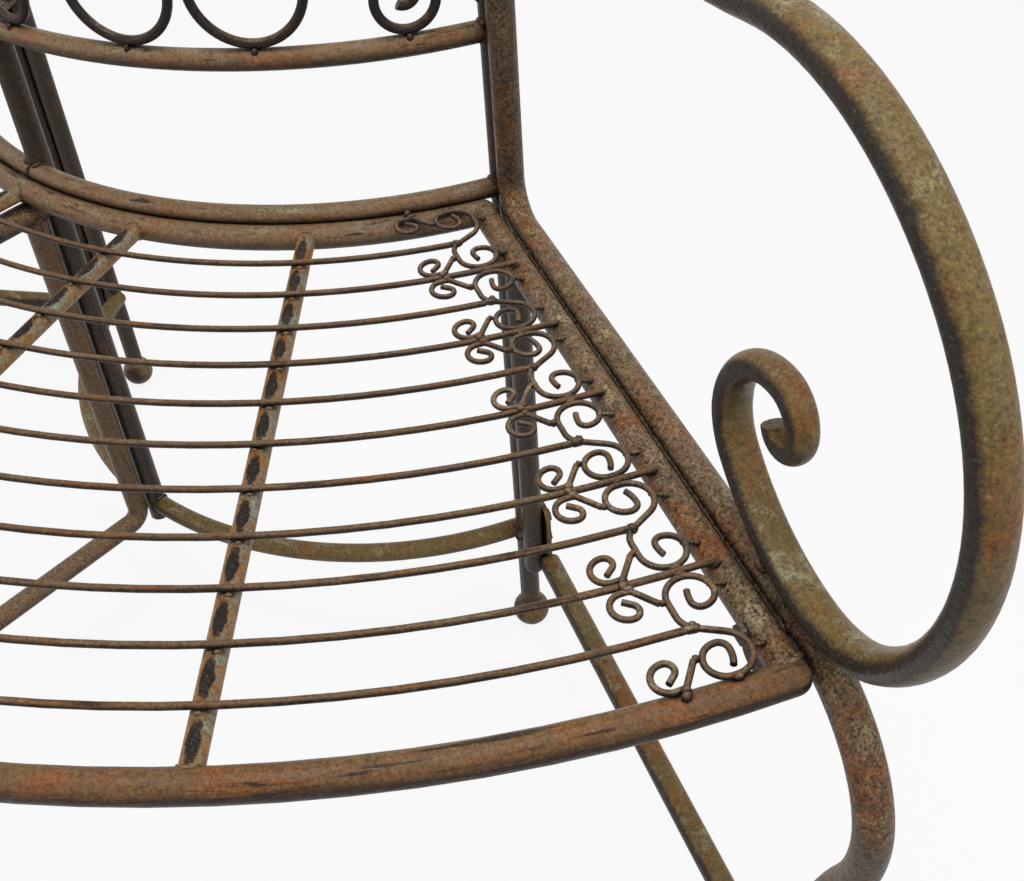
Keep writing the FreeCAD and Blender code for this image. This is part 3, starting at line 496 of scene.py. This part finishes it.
def seat_bar_welds():
    """Tacks of the wires on the cross bars, and beads where the bars and rails meet."""
    welds = Welds()
    # Beside a wire, where it touches the bar; the bars' axes pass a little above the rails'
    beside, bar_lift = 2.4, 1.0
    inner_tack, outer_tack, tack_stretch = 1.5, 1.3, 1.5
    bar_bead, rail_bead = 1.2, 1.6
    ends = ((BACK_RAIL, 1), (FRONT_RAIL, -1))
    for angle in BAR_ANGLES:
        out, along = outward(angle), around(angle)
        for number in range(1, WIRES + 1):
            radius = wire_radius(number)
            side = rng.choice((-1, 1))
            spot = out * (radius - beside) + along * (rng.uniform(-2.5, 2.5)) + UP * (WIRE_Z - 1.9)
            welds.lump(spot, inner_tack, along, tack_stretch)
            spot = out * (radius + beside) + along * (side * rng.uniform(0.5, 2.5)) + UP * (WIRE_Z - 2.1)
            welds.lump(spot, outer_tack, along, tack_stretch)
        for radius, sense in ends:
            welds.run(out * radius + UP * RAIL_Z, out * sense, along * sense, TUBE["bar"], TUBE["rail"],
                      bar_bead, bar_lift)
    for angle in (-BAY, BAY):
        out, along = outward(angle), around(angle)
        for radius, sense in ends:
            welds.run(out * radius + UP * RAIL_Z, out * sense, along * sense, TUBE["end_rail"] - 0.3,
                      TUBE["rail"], rail_bead)
    return welds.piece("weld_beads_seat", brown)


def back_welds():
    """Beads of the back's rails at the posts, and tacks of its scrolls."""
    welds = Welds()
    bead = 1.7
    for height, tube, radius in ((BOTTOM_RAIL_Z, "back", BACK_RADIUS), (MID_RAIL_Z, "back", BACK_RADIUS),
                                 (TOP_RAIL_Z, "back", BACK_RADIUS), (RING_Z, "ring", MIDDLE_POST)):
        welds.run(outward(0) * MIDDLE_POST + UP * height, around(0), UP, TUBE[tube], TUBE["post"], bead,
                  radius - MIDDLE_POST)
        welds.run(outward(POST_ANGLE) * BACK_RADIUS + UP * height, -around(POST_ANGLE), UP, TUBE[tube],
                  TUBE["post"], bead)
    # Where the scrolls stand on the rails: from the panel's middle, and from its ends
    lyre_foot, side_foot = 41.01, 34.15
    tack_depth, tack_rise = 3.6, 6.2
    panel = BAY / 2
    lyre_angle = math.degrees(math.atan(lyre_foot / BACK_RADIUS))
    side_angle = panel - math.degrees(math.atan(side_foot / BACK_RADIUS))
    for height, sense in ((MID_RAIL_Z, 1), (TOP_RAIL_Z, -1)):
        for turn in (lyre_angle, side_angle):
            for angle in (panel - turn, panel + turn):
                rise = UP * (height + sense * tack_rise)
                welds.lump(outward(angle) * (BACK_RADIUS + tack_depth) + rise, 2.2, UP, 1.3)
                welds.lump(outward(angle) * (BACK_RADIUS - tack_depth) + rise, 2.1, UP, 1.2)
    # The two lyre scrolls touch in the panel's middle
    lyre_depth = 2.2
    for height in (MID_RAIL_Z + 125, MID_RAIL_Z + 155, MID_RAIL_Z + 185):
        welds.lump(outward(panel) * (BACK_RADIUS + lyre_depth) + UP * height, 2.6, UP, 2.0)
        welds.lump(outward(panel) * (BACK_RADIUS - lyre_depth) + UP * height, 2.4, UP, 2.0)
    welds.mirror()
    return welds.piece("weld_beads_back", rods)


def frame_welds():
    """Beads of the legs, armrests and supports."""
    welds = Welds()
    out = outward(BAY)
    leg_bead, support_bead, proud = 1.5, 1.6, 0.2
    arm_top, arm_side = 9.4, 5.5
    welds.ring(end_frame(LEG_START, RAIL_Z), out, TUBE["side"] + proud, leg_bead)
    for reach in (LEG_START - 34, LEG_START - 12, LEG_START + 14):
        for offset in (-arm_side, arm_side):
            welds.lump(end_frame(reach, RAIL_Z + arm_top + rng.uniform(-0.5, 0.5), offset), 2.6, out, 1.8)
    welds.mirror()
    welds.ring(outward(0) * LEG_START + UP * SUPPORT_Z, outward(0), TUBE["side"] + proud, leg_bead)
    welds.run(outward(0) * MIDDLE_REACH + UP * SUPPORT_Z, -UP, outward(0), TUBE["rear_leg"], TUBE["side"],
              support_bead)
    return welds.piece("weld_beads_frames", verdigris)


def end_rail_seams():
    """A row of dark lumps that fills the narrow gap between each end rail and its side rail."""
    welds = Welds()
    out = outward(BAY)
    gap_middle = 9.2 - SIDE_OFFSET
    seam_start, seam_end, seam_step, seam_rise = 370, 728, 6, 1.5
    for reach in range(seam_start, seam_end, seam_step):
        welds.lump(end_frame(reach + rng.uniform(-1, 1), RAIL_Z + seam_rise, gap_middle), 1.5, out, 2.9)
    welds.mirror()
    return welds.piece("dark_gap_fill_end_rails", dark)


seat_scroll_welds()
seat_bar_welds()
back_welds()
frame_welds()
end_rail_seams()

# Studio: a pale floor, a white surround and soft lights

scene = bpy.context.scene
scene.view_settings.view_transform = "Standard"


def backdrop_share(tree):
    """1 for rays that see the surround itself or through a reflection, 0 for rays that light the bench."""
    rays = add(tree, "ShaderNodeLightPath").outputs
    mirrored = add(tree, "ShaderNodeMath", {0: rays["Is Glossy Ray"], 1: rays["Is Transmission Ray"]},
                   operation="MAXIMUM").outputs[0]
    return add(tree, "ShaderNodeMath", {0: rays["Is Camera Ray"], 1: mirrored},
               operation="MAXIMUM").outputs[0]


# White surround: looks white behind the bench and lights it only softly
world = bpy.data.worlds.new("studio")
world.use_nodes = True
scene.world = world
tree = world.node_tree
tree.nodes.clear()
light = add(tree, "ShaderNodeBackground", {"Color": linear("#f4f6f8"), "Strength": 0.30})
shown = add(tree, "ShaderNodeBackground", {"Color": linear("#ffffff"), "Strength": 1.0})
both = add(tree, "ShaderNodeMixShader", {0: backdrop_share(tree), 1: light.outputs[0], 2: shown.outputs[0]})
add(tree, "ShaderNodeOutputWorld", {"Surface": both.outputs[0]})

# Matt white floor paper: nearly white to the camera, with a faint shadow of the bench left on it
FLOOR_GLOW = 0.88
floor_paint = bpy.data.materials.new("pale_studio_floor")
floor_paint.use_nodes = True
tree = floor_paint.node_tree
tree.nodes.clear()
matt = add(tree, "ShaderNodeBsdfDiffuse", {"Color": linear("#f2f2f0")})
glow = add(tree, "ShaderNodeEmission", {"Color": linear("#ffffff"), "Strength": 1.0})
share = add(tree, "ShaderNodeMath", {0: backdrop_share(tree), 1: FLOOR_GLOW}, operation="MULTIPLY")
mixed = add(tree, "ShaderNodeMixShader", {0: share.outputs[0], 1: matt.outputs[0], 2: glow.outputs[0]})
add(tree, "ShaderNodeOutputMaterial", {"Surface": mixed.outputs[0]})

FLOOR_HALF, FLOOR_DROP = 8, -0.0005
mesh = bmesh.new()
bmesh.ops.create_grid(mesh, x_segments=1, y_segments=1, size=FLOOR_HALF)
bmesh.ops.translate(mesh, verts=mesh.verts[:], vec=(0, 0, FLOOR_DROP))
floor_mesh = bpy.data.meshes.new("studio_floor")
mesh.to_mesh(floor_mesh)
mesh.free()
floor_mesh.materials.append(floor_paint)
floor = bpy.data.objects.new("studio_floor", floor_mesh)
scene.collection.objects.link(floor)


def softbox(name, place, aim, size, power):
    """A square white lamp, in metres and watts, turned to the point that it aims at."""
    lamp = bpy.data.lights.new(name, "AREA")
    lamp.shape = "SQUARE"
    lamp.size = size
    lamp.energy = power
    item = bpy.data.objects.new(name, lamp)
    item.location = place
    item.rotation_euler = (Vector(aim) - Vector(place)).to_track_quat("-Z", "Y").to_euler()
    scene.collection.objects.link(item)


softbox("overhead", place=(0.4, 0.4, 2.6), aim=(0.3, 0.4, 0.4), size=1.0, power=25)
softbox("front_left", place=(-1.2, -1.6, 1.8), aim=(0.3, 0.4, 0.4), size=1.4, power=16)
softbox("right_side", place=(2.4, 0.6, 1.6), aim=(0.4, 0.4, 0.5), size=1.2, power=12)

camera_data = bpy.data.cameras.new("photo_camera")
camera_data.sensor_fit = "HORIZONTAL"
camera_data.sensor_width = 36
camera_data.lens = 45.14
camera = bpy.data.objects.new("photo_camera", camera_data)
camera.location = (0.797, 0.1063, 0.917)
camera.rotation_euler = Euler([math.radians(a) for a in (47.444, 3.082, 39.754)], "XYZ")
scene.collection.objects.link(camera)
scene.camera = camera
